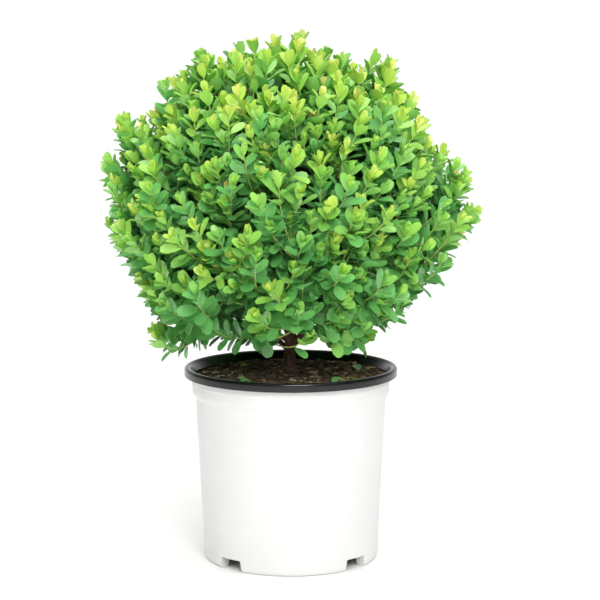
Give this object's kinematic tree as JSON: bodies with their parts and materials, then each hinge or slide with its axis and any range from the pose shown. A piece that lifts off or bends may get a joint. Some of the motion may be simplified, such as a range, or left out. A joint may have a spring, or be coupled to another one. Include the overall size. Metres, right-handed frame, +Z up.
{
  "type": "potted boxwood shrub",
  "caption": "Young round-crowned evergreen shrub with small glossy leaves on a short trunk, growing in a tapered white nursery pot with a black rolled rim.",
  "frame": {"origin": "on the ground under the middle of the pot", "axes": "+Z up along the pot's axis, -Y towards the side seen in front, +X to that side's right"},
  "size_m": [0.4113, 0.3792, 0.5609],
  "materials": {
    "pot_white": "thermoformed white sheet, satin",
    "pot_black": "thermoformed black sheet, glossy",
    "growing_mix": "damp bark and peat crumbs",
    "bark": "thin ridged bark",
    "foliage": "small leathery leaves with a waxy gloss"
  },
  "bodies": {
    "root": {"pot_body": "pot_white", "pot_lining": "pot_black", "growing_mix": "growing_mix", "trunk": "bark", "bough_top": "bark", "bough_upper_front_left": "bark", "bough_upper_front_right": "bark", "bough_upper_right": "bark", "bough_upper_back": "bark", "bough_upper_left": "bark", "bough_front_left": "bark", "bough_front_right": "bark", "bough_right": "bark", "bough_back_right": "bark", "bough_back_left": "bark", "bough_left": "bark", "bough_low_front": "bark", "bough_low_front_right": "bark", "bough_low_back_right": "bark", "bough_low_back_left": "bark", "bough_low_left": "bark", "bough_low_front_left": "bark", "mass_top": "foliage", "mass_upper_front_left": "foliage", "mass_upper_front_right": "foliage", "mass_upper_right": "foliage", "mass_upper_back": "foliage", "mass_upper_left": "foliage", "mass_front_left": "foliage", "mass_front_right": "foliage", "mass_right": "foliage", "mass_back_right": "foliage", "mass_back_left": "foliage", "mass_left": "foliage", "mass_low_front": "foliage", "mass_low_front_right": "foliage", "mass_low_back_right": "foliage", "mass_low_back_left": "foliage", "mass_low_left": "foliage", "mass_low_front_left": "foliage"}
  },
  "joints": []
}
